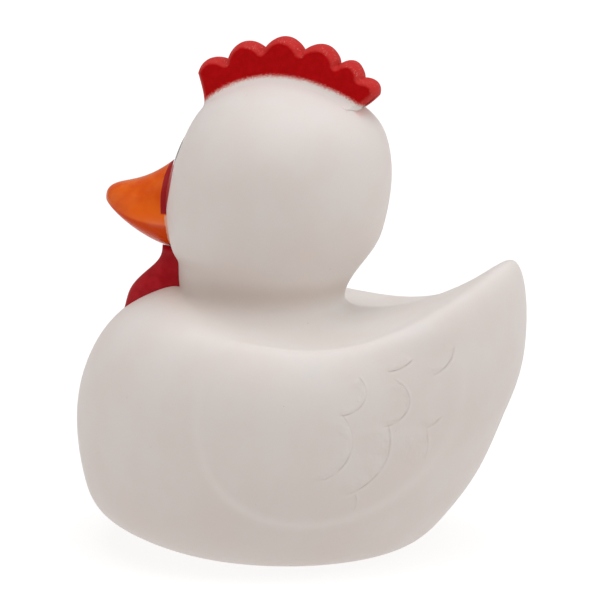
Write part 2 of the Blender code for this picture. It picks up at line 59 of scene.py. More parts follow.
# A row holds radii and heights at five bearings, from the front round to the back, then the reach and rise
# that the tail adds to it.
BODY_ROWS = (
    ((14, 14, 14, 14, 14), (0, 0, 0, 0, 0), 0, 0),
    ((17.6, 17.6, 17.6, 17.6, 17.6), (0, 0, 0, 0, 0), 0, 0),
    ((25.4, 25.6, 25.6, 25, 24.2), (1.9, 1.9, 1.9, 1.9, 1.9), 0, 0),
    ((33, 32.6, 30.8, 29.3, 28.4), (6, 6, 6, 6, 6), 0, 0),
    ((36.2, 36, 34.3, 33.4, 33.2), (12.6, 12.6, 12.6, 12.6, 12.6), 0, 0),
    ((37.3, 37, 35.5, 36.4, 38.6), (24, 24, 24, 24, 24.5), 0, 0),
    ((34.7, 35, 34, 36.2, 41.1), (34, 34, 34.3, 34.2, 36.2), 1.1, 1.2),
    ((28, 29, 29, 31.8, 37.6), (42, 42.2, 40.8, 40.2, 43.3), 2.5, 8.5),
    ((21, 22, 24, 25.5, 29.5), (45.5, 45, 40.6, 39.4, 42.2), 2, 5.2),
)
# The foot of the neck and the neck, as shares of the neck's radius and as heights above the back.
NECK_ROWS = (
    ((0.955, 0.96, 0.95, 0.94, 0.94), (6.5, 6.2, 4.6, 2.6, 2)),
    ((0.955, 0.975, 0.99, 0.985, 0.98), (9, 8.4, 7.4, 6, 5.4)),
)
TAIL_SHARPNESS = 6.5
BACK_HEIGHT = 41.0
NECK_RADIUS = 15.5
NECK_FORWARD = 4.6
HEAD_RADIUS = 19.6
HEAD_FORWARD = 1.7
HEAD_HEIGHT = BACK_HEIGHT + 22.6
HEAD_TALL_RADIUS = 18.9
CROWN_HEIGHT = HEAD_HEIGHT + HEAD_TALL_RADIUS
HEAD_ROW_ANGLES = (128, 110, 90, 70, 50, 30, 15)
CHEEK_ANGLE, CHEEK_SPAN, CHEEK_WIDENING = 95.0, 50.0, 3.2
BROW_ANGLE, BROW_SPAN, BROW_SHARE = 64.0, 20.0, 0.075
NAPE_ANGLE, NAPE_SPAN, NAPE_SHARE = 48.0, 24.0, 0.135
WALL = 2.5
BASE_THICKNESS = 3.6
FLAT_BELOW = 0.05


def round_the_axis(samples, bearings):
    """The cosine series through samples spaced evenly from the front (0) round to the back (pi)."""
    samples = np.asarray(samples, float)
    last = len(samples) - 1
    order = np.arange(last + 1)
    share = np.where((order == 0) | (order == last), 0.5, 1.0)
    waves = np.cos(np.outer(order, order) * math.pi / last)
    factors = 2.0 / last * share * (waves @ (share * samples))
    return np.cos(np.multiply.outer(bearings, order)) @ factors


def spline_weights(knots, places):
    """Weights by which a natural cubic spline through the knots mixes the rows at each place."""
    count = len(knots)
    step = np.diff(knots)
    system = np.eye(count)
    bend = np.zeros((count, count))
    for k in range(1, count - 1):
        system[k, k - 1:k + 2] = step[k - 1], 2 * (step[k - 1] + step[k]), step[k]
        bend[k, k - 1:k + 2] = 6 / step[k - 1], -6 / step[k - 1] - 6 / step[k], 6 / step[k]
    curvature = np.linalg.solve(system, bend)
    k = np.clip(np.searchsorted(knots, places, side="right") - 1, 0, count - 2)
    before = ((knots[k + 1] - places) / step[k])[:, None]
    after = 1 - before
    rows = np.eye(count)
    arch = (before ** 3 - before) * curvature[k] + (after ** 3 - after) * curvature[k + 1]
    return before * rows[k] + after * rows[k + 1] + arch * (step[k] ** 2)[:, None] / 6


def profile_rows(bearings, inset=0.0, tail=1.0):
    """Rows from pole to pole with a mirrored row beyond each pole: the rows of the outer surface, or with an
    inset the rows of the hollow, each moved inwards square to the profile that joins its neighbours."""
    tail_share = tail * np.exp(TAIL_SHARPNESS * (-np.cos(bearings) - 1))
    across = np.sin(bearings)
    ahead = -np.cos(bearings)
    rows = []
    for radii, heights, reach, rise in BODY_ROWS:
        radius = round_the_axis(radii, bearings) + reach * tail_share
        rows.append((radius * across, radius * ahead, round_the_axis(heights, bearings) + rise * tail_share))
    for shares, heights in NECK_ROWS:
        radius = NECK_RADIUS * round_the_axis(shares, bearings)
        rows.append((radius * across, radius * ahead - NECK_FORWARD,
                     BACK_HEIGHT + round_the_axis(heights, bearings)))
    for angle in HEAD_ROW_ANGLES:
        low = max(0.0, (angle - CHEEK_ANGLE) / CHEEK_SPAN)
        radius = HEAD_RADIUS * math.sin(math.radians(angle)) + CHEEK_WIDENING * low ** 1.5
        brow = BROW_SHARE * math.exp(-((angle - BROW_ANGLE) / BROW_SPAN) ** 2)
        nape = NAPE_SHARE * math.exp(-((angle - NAPE_ANGLE) / NAPE_SPAN) ** 2)
        shares = (1 - brow - 0.05 * low, 1 - brow / 2, 1, 1 + nape / 2 + 0.05 * low, 1 + nape + 0.09 * low)
        radius = radius * round_the_axis(shares, bearings)
        forward = HEAD_FORWARD + (NECK_FORWARD - HEAD_FORWARD) * low
        height = HEAD_HEIGHT + HEAD_TALL_RADIUS * math.cos(math.radians(angle))
        rows.append((radius * across, radius * ahead - forward, np.full_like(radius, height)))
    rows = np.array([np.stack(row, -1) for row in rows])
    if inset:
        out = np.stack([across, ahead], -1)
        reach = ((rows[..., :2] - rows.mean(1, keepdims=True)[..., :2]) * out).sum(-1)
        reaches = np.vstack([0 * reach[:1], reach, 0 * reach[:1]])
        tops = np.vstack([rows[:1, :, 2], rows[..., 2], np.full_like(rows[:1, :, 2], CROWN_HEIGHT)])
        run = reaches[2:] - reaches[:-2]
        climb = tops[2:] - tops[:-2]
        size = np.hypot(run, climb)
        rows[..., :2] -= (inset * climb / size)[..., None] * out
        rows[..., 2] += inset * run / size
    foot = np.array([0, 0, BASE_THICKNESS if inset else 0.0])
    crown = np.array([0, -HEAD_FORWARD, CROWN_HEIGHT - inset])
    mirror = np.array([-1, -1, 1])
    under = rows[:1] * mirror
    over = (rows[-1:] - crown) * mirror + crown
    foot, crown = (np.broadcast_to(pole, under.shape) for pole in (foot, crown))
    return np.concatenate([under, foot, rows, crown, over])


def knots_along(rows):
    """A row's place along the profile: the mean distance that its points have come from the first row."""
    return np.append(0, np.cumsum(np.linalg.norm(np.diff(rows, axis=0), axis=-1).mean(-1)))


EVEN_BEARINGS = np.arange(48) * math.tau / 48
OUTER_KNOTS = knots_along(profile_rows(EVEN_BEARINGS))
FIRST_ROW = 2
RIM_ROW = FIRST_ROW + len(BODY_ROWS) - 1
CROWN_ROW = len(OUTER_KNOTS) - 2


def design_skin(bearings, places):
    """The outer surface's grid of points, places along the profile by bearings round it."""
    grid = np.einsum("pr,rbc->pbc", spline_weights(OUTER_KNOTS, places), profile_rows(bearings))
    grid[..., 2] = np.where(grid[..., 2] < FLAT_BELOW, 0, grid[..., 2])
    return grid


# The design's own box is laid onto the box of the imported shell.
shell_low, shell_high = (np.array(corner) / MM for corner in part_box("body_shell"))
rough = design_skin(EVEN_BEARINGS, np.linspace(OUTER_KNOTS[1], OUTER_KNOTS[CROWN_ROW], 400))
FIT_SCALE = (shell_high - shell_low) / (rough.max((0, 1)) - rough.min((0, 1)))
FIT_MOVE = shell_low - rough.min((0, 1)) * FIT_SCALE


def fitted(points):
    """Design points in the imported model's place and size."""
    return np.asarray(points) * FIT_SCALE + FIT_MOVE


def outer_skin(bearings, places):
    """The outer surface's grid in place."""
    return fitted(design_skin(bearings, places))


def outward(grid):
    """Unit normals of a grid of closed rings: the way round crossed with the way up."""
    around = np.roll(grid, -1, 1) - np.roll(grid, 1, 1)
    normals = np.cross(around, np.gradient(grid, axis=0))
    return normals / np.maximum(np.linalg.norm(normals, axis=-1, keepdims=True), 1e-9)


def eased(low, high, value):
    """0 below low, 1 above high, and a smooth rise between them."""
    share = np.clip((value - low) / (high - low), 0, 1)
    return share * share * (3 - 2 * share)


# The wing's outline is an ellipse seen from the side, as (y, z), and a feather's edge is an arc:
# its centre, radius, and the angles between which it shows, from the way back round to the way up.
WING_CENTRE = (12.4, 30.9)
WING_HALF_SIZES = (22.0, 19.3)
WING_TILT = math.radians(41)
WING_DEPTH = 0.30
WING_BORDER = 1.6
WING_RIDGE, WING_RIDGE_HALF_WIDTH = 0.07, 0.8
FEATHER_STEP = 0.16
FEATHER_EDGE = 0.9
FEATHER_ARCS = (
    ((10.3, 25.4), 6.95, -78, 37),
    ((15.7, 33.2), 3.4, -88, 50),
    ((13.0, 25.3), 9.85, -64, 13),
    ((21.6, 31.6), 4.05, -78, 62),
    ((13.6, 15.0), 3.8, -30, 14),
    ((16.0, 24.9), 12.0, -15, 7),
    ((26.5, 30.5), 4.2, -68, -35),
    ((22.4, 40.9), 4.2, -84, -38),
    ((27.4, 39.7), 4.4, -62, 5),
)
ARC_FADE = 14.0


def inside_wing(points):
    """How far points lie inside the wing's outline, less than 0 outside it."""
    ahead, above = points[..., 1] - WING_CENTRE[0], points[..., 2] - WING_CENTRE[1]
    along = (ahead * math.cos(WING_TILT) + above * math.sin(WING_TILT)) / WING_HALF_SIZES[0]
    off = (above * math.cos(WING_TILT) - ahead * math.sin(WING_TILT)) / WING_HALF_SIZES[1]
    return (1 - np.hypot(along, off)) * sum(WING_HALF_SIZES) / 2


def wing_relief(points, normals):
    """How far each point moves out: in by the wing's depth inside its outline, and out by a step along each
    feather's edge, which dies away behind it, all of it fading where the skin turns off to front or top."""
    y, z = points[..., 1], points[..., 2]
    inside = inside_wing(points)
    relief = -WING_DEPTH * eased(-WING_BORDER / 2, WING_BORDER / 2, inside)
    relief += WING_RIDGE * np.exp(-(inside / WING_RIDGE_HALF_WIDTH) ** 2)
    for (arc_y, arc_z), radius, start, end in FEATHER_ARCS:
        away = np.hypot(y - arc_y, z - arc_z)
        angle = np.degrees(np.arctan2(z - arc_z, y - arc_y))
        shown = eased(start - ARC_FADE, start + 4, angle) * (1 - eased(end - 4, end + ARC_FADE / 2, angle))
        depth = radius - away
        step = eased(0, FEATHER_EDGE, depth) * np.exp(-np.maximum(depth, 0) / (0.35 * radius))
        relief += FEATHER_STEP * step * shown
    return relief * eased(0.12, 0.42, np.abs(normals[..., 0])) * eased(43.0, 38.0, z)


def put_mesh(name, points, faces, sharp_deg=None):
    """A mesh object from points in millimetres and faces whose normals point out of a positive volume."""
    points = np.asarray(points, float)
    mesh = bpy.data.meshes.new(name)
    mesh.from_pydata((points * MM).tolist(), [], faces)
    mesh.shade_smooth()
    if sharp_deg:
        mesh.set_sharp_from_angle(angle=math.radians(sharp_deg))
    mesh.update()
    piece = bpy.data.objects.new(name, mesh)
    bpy.context.collection.objects.link(piece)
    return piece


def ring_surface(name, rings, poles=(None, None), sharp_deg=None):
    """A closed surface from a grid of closed rings, (rings, points, 3), in millimetres. A pole closes each
    end, and with no poles the last ring joins the first. The faces are turned to point out."""
    count, around = rings.shape[:2]
    looped = poles[0] is None
    lower = np.arange(count if looped else count - 1)[:, None] * around
    upper = (lower + around) % (count * around)
    here = np.arange(around)[None]
    following = (here + 1) % around
    quads = np.stack([lower + here, lower + following, upper + following, upper + here], -1).reshape(-1, 4)
    points = rings.reshape(-1, 3)
    caps = []
    if not looped:
        points = np.vstack([points, poles])
        here, following = here[0], following[0]
        first, last = count * around, count * around + 1
        start = (count - 1) * around
        caps = np.vstack([np.stack([following, here, np.full(around, first)], -1),
                          np.stack([start + here, start + following, np.full(around, last)], -1)])
    triangles = np.vstack([quads[:, [0, 1, 2]], quads[:, [0, 2, 3]], *([caps] if len(caps) else [])])
    a, b, c = (points[triangles[:, k]] for k in range(3))
    if np.einsum("ij,ij->", a, np.cross(b, c)) < 0:
        quads = quads[:, ::-1]
        caps = caps[:, ::-1] if len(caps) else caps
    return put_mesh(name, points, quads.tolist() + np.asarray(caps, int).tolist(), sharp_deg)


def keep_number(piece, name, values):
    """Keep a number at each point of the piece for its material; a point past the values keeps 0."""
    numbers = np.zeros(len(piece.data.vertices), np.float32)
    numbers[:values.size] = values.ravel()
    piece.data.attributes.new(name, "FLOAT", "POINT").data.foreach_set("value", numbers)


SKIN_SEGMENTS = 288
HULL_RINGS = 186
HEAD_RINGS = 92
CAVITY_RINGS = 40
SIDE_CROWDING = 0.28

# More bearings stand at the sides, where the wings are.
even = np.arange(SKIN_SEGMENTS) * math.tau / SKIN_SEGMENTS
skin_bearings = even + SIDE_CROWDING * np.sin(2 * even)
skin_places = np.append(np.linspace(OUTER_KNOTS[FIRST_ROW], OUTER_KNOTS[RIM_ROW], HULL_RINGS),
                        np.linspace(OUTER_KNOTS[RIM_ROW], OUTER_KNOTS[CROWN_ROW], HEAD_RINGS + 2)[1:-1])
outer_rings = outer_skin(skin_bearings, skin_places)
normals = outward(outer_rings)
# A mask along the wing's outline, kept for the painted highlight drawn there.
wing_border = np.exp(-(inside_wing(outer_rings) / WING_RIDGE_HALF_WIDTH) ** 2)
wing_border *= eased(0.25, 0.6, np.abs(normals[..., 0])) * eased(42.0, 37.0, outer_rings[..., 2])
outer_rings = outer_rings + normals * wing_relief(outer_rings, normals)[..., None]

# The recess and hole for the squeaker, as (radius, height) from the hollow's floor down and out to the base.
cup_low, cup_high = (np.array(corner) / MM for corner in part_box("squeaker_cup"))
FLANGE_RADIUS = (cup_high[0] - cup_low[0]) / 2
FLANGE_RELIEF = cup_low[2]
GAP = 0.3
FLANGE_THICKNESS = 1.0
CUP_RADIUS = 7.0
recess_radius = FLANGE_RADIUS + GAP
recess_top = FLANGE_RELIEF + FLANGE_THICKNESS + GAP
hole_radius = CUP_RADIUS + GAP
FILLET = 0.25
opening = np.array([
    (hole_radius + FILLET, BASE_THICKNESS), (hole_radius, BASE_THICKNESS - FILLET),
    (hole_radius, recess_top + FILLET), (hole_radius + FILLET, recess_top),
    (recess_radius - FILLET, recess_top), (recess_radius, recess_top - FILLET),
    (recess_radius, 2 * FILLET), (recess_radius + 0.3 * FILLET, FILLET / 2), (recess_radius + FILLET, 0.0),
    (recess_radius + 3 * FILLET, 0.0)])
ring_way = np.stack([np.sin(skin_bearings), -np.cos(skin_bearings), 0 * skin_bearings], -1)
opening_rings = opening[:, :1, None] * ring_way + opening[:, 1, None, None] * np.array([0, 0, 1])

cavity_rows = profile_rows(skin_bearings, WALL, tail=0.0)
cavity_knots = knots_along(profile_rows(EVEN_BEARINGS, WALL, tail=0.0))
cavity_places = np.linspace(cavity_knots[FIRST_ROW], cavity_knots[CROWN_ROW], CAVITY_RINGS + 1)[:-1]
cavity_rings = fitted(np.einsum("pr,rbc->pbc", spline_weights(cavity_knots, cavity_places), cavity_rows))
cavity_rings[..., 2] = np.maximum(cavity_rings[..., 2], BASE_THICKNESS)
skin = ring_surface(
    "vinyl_skin", np.concatenate([cavity_rings[::-1], opening_rings, outer_rings]),
    (fitted((0, -HEAD_FORWARD, CROWN_HEIGHT - WALL)), fitted((0, -HEAD_FORWARD, CROWN_HEIGHT))))


inner_points = cavity_rings[..., 0].size + opening_rings[..., 0].size
keep_number(skin, "wing_border", np.append(np.zeros(inner_points), wing_border))


class Wire:
    """A shader socket that takes part in sums: each operator adds the Math node that works it out."""

    def __init__(self, finish, socket):
        self.finish = finish
        self.socket = socket

    def maths(self, operation, first, second=0.0):
        return self.finish.node("ShaderNodeMath", {"operation": operation}, {0: first, 1: second})

    def __add__(self, other):
        return self.maths("ADD", self, other)

    def __radd__(self, other):
        return self.maths("ADD", other, self)

    def __sub__(self, other):
        return self.maths("SUBTRACT", self, other)

    def __rsub__(self, other):
        return self.maths("SUBTRACT", other, self)

    def __mul__(self, other):
        return self.maths("MULTIPLY", self, other)

    def __pow__(self, other):
        return self.maths("POWER", self, other)

    def __abs__(self):
        return self.maths("ABSOLUTE", self)

    def rising(self, low, high):
        """0 below low, 1 above high, and a smooth rise between; with low above high it falls."""
        settings = {"interpolation_type": "SMOOTHSTEP"}
        inputs = {"Value": self, "From Min": low, "From Max": high}
        if low > high:
            inputs.update({"From Min": high, "From Max": low, "To Min": 1.0, "To Max": 0.0})
        return self.finish.node("ShaderNodeMapRange", settings, inputs)


def distance(across, along):
    """The length of a step across and a step along."""
    return (across ** 2.0 + along ** 2.0) ** 0.5


class Finish:
    """A Principled material being made. Lengths are in millimetres of the piece's own coordinates."""

    def __init__(self, name, **constants):
        self.material = bpy.data.materials.new(name)
        self.material.use_nodes = True
        self.tree = self.material.node_tree
        self.shader = self.tree.nodes["Principled BSDF"]
        for socket, value in constants.items():
            self.shader.inputs[socket.replace("_", " ")].default_value = value
        self.metres = self.node("ShaderNodeTexCoord", output="Object")
        self.place = self.node("ShaderNodeVectorMath", {"operation": "SCALE"},
                               {0: self.metres, "Scale": 1 / MM})
        self.x, self.y, self.z = (self.node("ShaderNodeSeparateXYZ", {}, {0: self.place}, axis)
                                  for axis in "XYZ")

    def node(self, kind, settings=None, inputs=None, output=0):
        """Add a node: its settings first, then its sockets' values or links. Gives back one output."""
        made = self.tree.nodes.new(kind)
        for key, value in (settings or {}).items():
            setattr(made, key, value)
        for key, value in (inputs or {}).items():
            if isinstance(value, Wire):
                self.tree.links.new(value.socket, made.inputs[key])
            else:
                made.inputs[key].default_value = value
        return Wire(self, made.outputs[output])

    def noise(self, size, detail=2.0, rough=0.5, stretch=(1, 1, 1)):
        """Smooth noise from 0 to 1 with features of about the size in millimetres."""
        place = self.node("ShaderNodeMapping", {}, {"Vector": self.place, "Scale": stretch})
        return self.node("ShaderNodeTexNoise", {}, {"Vector": place, "Scale": 1 / size, "Detail": detail,
                                                    "Roughness": rough})

    def grains(self, size):
        """Distance in cells to the nearest of scattered points that stand about the size apart."""
        return self.node("ShaderNodeTexVoronoi", {}, {"Vector": self.place, "Scale": 1 / size})

    def attribute(self, name):
        """A number kept at each point of the piece."""
        return self.node("ShaderNodeAttribute", {"attribute_name": name}, output="Fac")

    def mixed(self, share, one, two):
        """A colour between two colours."""
        def four(colour):
            return colour if isinstance(colour, Wire) else (*colour, 1.0)
        return self.node("ShaderNodeMix", {"data_type": "RGBA"}, {0: share, 6: four(one), 7: four(two)}, 2)

    def made(self, colour, roughness=None, height=None, **links):
        """Link the shader's changing sockets, with a height in millimetres as a bump. Gives the material."""
        links["Base_Color"] = colour
        if roughness:
            links["Roughness"] = roughness
        if height:
            links["Normal"] = self.node("ShaderNodeBump", {},
                                        {"Height": height, "Distance": MM, "Strength": 1.0})
        for socket, wire in links.items():
            self.tree.links.new(wire.socket, self.shader.inputs[socket.replace("_", " ")])
        return self.material


def dressed(piece, body, slot, material, *nodes):
    """Give a piece its material and the body it rides on, and hide the imported nodes it stands for. The slot
    name is not used.
    """
    piece.data.materials.append(material)
    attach(piece, body)
    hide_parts(*nodes)


HEAD_CENTRE = fitted((0, -HEAD_FORWARD, HEAD_HEIGHT))
HEAD_CENTRE_Y, HEAD_CENTRE_Z = (float(part) for part in HEAD_CENTRE[1:])
BODY_AXIS_Y = float(FIT_MOVE[1])
COMB_HALF_THICKNESS = 3.1
CREASE_HEIGHT = 46.0
GROOVE_WIDTH = 0.22


def feather_lines(vinyl):
    """The feathers' edges as a thin groove and the lit foot just outside it, drawn on each arc by distance
    from its centre, and the raised face inside it. Gives back the groove, the foot and the face."""
    groove, foot, face = [], [], []
    for (arc_y, arc_z), radius, start, end in FEATHER_ARCS:
        ahead = vinyl.y - arc_y
        above = vinyl.z - arc_z
        beyond = distance(ahead, above) - radius
        turned_by = above.maths("ARCTAN2", above, ahead)
        start, end, fade = (math.radians(angle) for angle in (start, end, ARC_FADE))
        shown = turned_by.rising(start - fade, start + 0.1) * turned_by.rising(end + fade / 2, end - 0.1)
        groove.append(abs(beyond).rising(GROOVE_WIDTH, 0.0) * shown)
        foot.append(abs(beyond - 1.6 * GROOVE_WIDTH).rising(1.4 * GROOVE_WIDTH, 0.0) * shown)
        face.append(beyond.rising(0.05, -0.2) * beyond.rising(-0.5 * radius, -0.1) * shown)
    seen = abs(vinyl.x).rising(13.0, 19.0)
    return (sum(parts[1:], parts[0]) * seen for parts in (groove, foot, face))


def vinyl_finish():
    """Matt white vinyl: mould grain and pits, cloudy tint, patchy painted shade in the feather grooves, a
    painted highlight along the wing border and on the feathers' feet, painted shade under the head and in the
    neck crease, and red drift beside the comb."""
    vinyl = Finish("white_vinyl", Roughness=0.5, Specular_IOR_Level=0.35, Subsurface_Weight=0.12,
                   Subsurface_Radius=(1.0, 0.75, 0.6), Subsurface_Scale=0.0016)
    clouds = vinyl.noise(9.0, 3.0)
    grain = vinyl.noise(0.42, 3.0, 0.65)
    pits = vinyl.grains(1.9)
    pit = pits.rising(0.09, 0.04) * vinyl.noise(5.0, 1.0).rising(0.62, 0.70)
    colour = vinyl.mixed(clouds.rising(0.3, 0.7), (0.795, 0.745, 0.71), (0.80, 0.77, 0.74))
    # Painted shade: darker brown on the throat and the front of the chest, under the head.
    under_head = vinyl.z.rising(39.0, 44.5) * vinyl.z.rising(53.0, 47.0)
    off_axis = distance(vinyl.x, vinyl.y - (BODY_AXIS_Y - NECK_FORWARD))
    throat_painted_shade = under_head * off_axis.rising(29.0, 17.0) * vinyl.y.rising(8.0, -8.0)
    colour = vinyl.mixed(throat_painted_shade * 0.30, colour, (0.56, 0.46, 0.40))
    # Painted shade: darker brown in the crease where the head meets the body.
    crease_painted_shade = abs(vinyl.z - CREASE_HEIGHT).rising(3.4, 0.0) * off_axis.rising(24.0, 15.0)
    colour = vinyl.mixed(crease_painted_shade * 0.40, colour, (0.56, 0.46, 0.38))
    groove, foot, face = feather_lines(vinyl)
    patchiness = vinyl.noise(2.6, 3.0).rising(0.32, 0.66)
    # Painted shade: a patchy darker line along each feather groove.
    colour = vinyl.mixed(groove * patchiness * 0.42, colour, (0.55, 0.49, 0.45))
    # Painted highlight: lighter along the wing's border and on the foot just outside each feather groove.
    painted_border_highlight = vinyl.attribute("wing_border") * vinyl.y.rising(-18.0, 12.0) + foot * patchiness
    colour = vinyl.mixed(painted_border_highlight * 0.22, colour, (0.93, 0.91, 0.89))
    colour = vinyl.mixed(pit * 0.35, colour, (0.45, 0.40, 0.36))
    behind = vinyl.y - HEAD_CENTRE_Y
    over_head = (vinyl.z - HEAD_CENTRE_Z).rising(11.0, 14.0)
    off_middle = abs(vinyl.x) + vinyl.noise(0.5, 3.0, 0.7) * 1.3
    beside = off_middle.rising(COMB_HALF_THICKNESS + 1.5, COMB_HALF_THICKNESS + 0.75)
    drift = beside * over_head * behind.rising(-12.0, -10.5) * behind.rising(16.5, 15.0)
    colour = vinyl.mixed(drift * 0.4, colour, (0.70, 0.22, 0.20))
    height = grain * 0.012 - pit * 0.06 + vinyl.noise(1.6, 2.0) * 0.02 + face * patchiness * 0.12 - groove * 0.02
    roughness = 0.44 + vinyl.noise(2.2, 3.0) * 0.14
    return vinyl.made(colour, roughness, height)


dressed(skin, "hen", "white_vinyl", vinyl_finish(), "body_shell")


# ---- comb ----
# The real comb is part of the casting, a crest of six rounded lobes with a flat top edge, brushed in red
# enamel.
# The paint is thin and rubbed along the top, drawn lighter there also as a painted highlight, and breaks up
# into the white at the root.

COMB_HEIGHT = 6.5
COMB_LOBE_DEPTH = 2.1
COMB_END_DROP = 1.1
COMB_LOBES = 6
COMB_START, COMB_END = -0.85, 5.6
COMB_FIRST_LOBE_DEG = -32.5
COMB_SPREAD_DEG = 16.8
COMB_CROWDING_DEG = 5.2
COMB_CROWDED_FROM = 3.4
COMB_LAST_NOTCH_LOSS = 0.45
COMB_BACKSET = 0.7
COMB_TALLEST_LOBE = 2.2
COMB_FRONT_RUN, COMB_BACK_RUN = 0.62, 0.35
COMB_NOTCH_SHARPNESS = 0.8
COMB_SUNK = 1.2
COMB_ROUNDING = 1.3
COMB_FILLET = 1.9
COMB_FILLET_RISE = 0.8
COMB_LEAN_DEG, COMB_LEAN_FROM = 4.0, 4.5
COMB_FADE_IN, COMB_FADE_OUT = 0.8, 0.5
COMB_SECTIONS = 500
COMB_FILLET_STEPS = 16
COMB_WALL_STEPS = 45


def skin_towards(directions):
    """Points of the head's skin in directions from the head's centre, closed in on by stepping bearing and
    place by what the found point misses in bearing and in elevation."""
    flat = np.hypot(directions[:, 0], directions[:, 1])
    aim_bearing = np.arctan2(directions[:, 0], -directions[:, 1])
    aim_lift = np.arctan2(directions[:, 2], flat)
    bearings = aim_bearing.copy()
    places = OUTER_KNOTS[CROWN_ROW] - HEAD_RADIUS * (math.pi / 2 - aim_lift)
    for _ in range(6):
        weights = spline_weights(OUTER_KNOTS, places)
        found = fitted(np.einsum("pr,rpc->pc", weights, profile_rows(bearings))) - HEAD_CENTRE
        bearing_missed = aim_bearing - np.arctan2(found[:, 0], -found[:, 1])
        bearings += (bearing_missed + math.pi) % math.tau - math.pi
        places += HEAD_RADIUS * (aim_lift - np.arctan2(found[:, 2], np.hypot(found[:, 0], found[:, 1])))
    return found + HEAD_CENTRE


def above_skin(points):
    """How far points stand off the head's skin, measured from the head's centre."""
    arms = points.reshape(-1, 3) - HEAD_CENTRE
    reach = np.linalg.norm(arms, axis=-1)
    skin_reach = np.linalg.norm(skin_towards(arms / reach[:, None]) - HEAD_CENTRE, axis=-1)
    return (reach - skin_reach).reshape(points.shape[:-1])


def comb_surface():
    """Sections across the crest. Its top edge follows |cos| lobes under a front ramp and a rounded back. A
    point's half thickness is a quarter round of its distance from that edge, so the sides are flat and the
    lobes rounded. Each side meets the skin in a parabolic fillet, and the last lobe leans back. Gives back
    the sections and each point's distance from the top edge."""
    place = np.linspace(COMB_START, COMB_END, COMB_SECTIONS + 2)[1:-1]
    crowding = COMB_CROWDING_DEG * np.maximum(place - COMB_CROWDED_FROM, 0)
    along = np.radians(COMB_FIRST_LOBE_DEG + COMB_SPREAD_DEG * place - crowding)
    notched = 1 - np.abs(np.cos(math.pi * np.maximum(place, -0.5))) ** COMB_NOTCH_SHARPNESS
    notched *= 1 - COMB_LAST_NOTCH_LOSS * np.clip(place - COMB_CROWDED_FROM, 0, 1)
    lobed = COMB_HEIGHT - COMB_LOBE_DEPTH * notched
    lobed -= COMB_END_DROP * ((place - COMB_TALLEST_LOBE) / (COMB_LOBES / 2)) ** 2
    front_edge = COMB_HEIGHT * ((place - COMB_START) / COMB_FRONT_RUN) ** 2
    back_edge = COMB_HEIGHT * np.sqrt((COMB_END - place) / COMB_BACK_RUN)
    top = np.minimum(lobed, np.minimum(front_edge, back_edge))

    fan = np.radians(np.linspace(-80, 80, 160))
    crown = skin_towards(np.stack([0 * fan, np.sin(fan), np.cos(fan)], -1)) - HEAD_CENTRE
    _, back, up = (crown - (0, COMB_BACKSET, 0)).T
    skin = np.interp(along, np.arctan2(back, up), np.hypot(back, up))[:, None]
    ends = eased(COMB_START, COMB_START + COMB_FADE_IN, place)
    ends *= eased(COMB_END, COMB_END - COMB_FADE_OUT, place)
    share = np.linspace(0, 1, COMB_FILLET_STEPS)
    fillet = COMB_FILLET * ends[:, None] * (1 - share) ** 2
    foot = np.sqrt(skin ** 2 - (COMB_HALF_THICKNESS + fillet) ** 2)
    foot += COMB_FILLET_RISE * COMB_FILLET * ends[:, None] * share ** 2
    foot_top = foot[:, -1:]
    high = np.maximum(HEAD_RADIUS + top[:, None], foot_top + 0.01)
    wall = foot_top + (high - foot_top) * np.sin(np.linspace(0, math.pi / 2, COMB_WALL_STEPS + 1)[1:])
    radius = np.concatenate([foot[:, :1] - COMB_SUNK, foot, wall], 1)
    fillet = np.concatenate([fillet[:, :1], fillet, 0 * wall], 1)

    lean = math.radians(COMB_LEAN_DEG) * eased(COMB_LEAN_FROM, COMB_END, place)[:, None]
    slant = along[:, None] - lean * (1 - (radius - skin) / COMB_HEIGHT)
    y = COMB_BACKSET + radius * np.sin(slant)
    z = radius * np.cos(slant)
    from_edge = np.min(np.hypot(y[..., None] - y[:, -1], z[..., None] - z[:, -1]), axis=-1)
    rounded = np.clip(from_edge / COMB_ROUNDING, 0, 1)
    half = COMB_HALF_THICKNESS * np.sqrt(rounded * (2 - rounded)) + fillet
    near = np.stack([half, y + HEAD_CENTRE[1], z + HEAD_CENTRE[2]], -1)
    far = near[:, -2::-1] * (-1, 1, 1)
    edge = np.concatenate([from_edge, from_edge[:, -2::-1]], 1)
    return np.concatenate([near, far], 1), edge


comb_points, from_top_edge = comb_surface()
comb = ring_surface("painted_comb", comb_points, (comb_points[0].mean(0), comb_points[-1].mean(0)))
keep_number(comb, "above_skin", above_skin(comb_points))
keep_number(comb, "from_top_edge", from_top_edge)


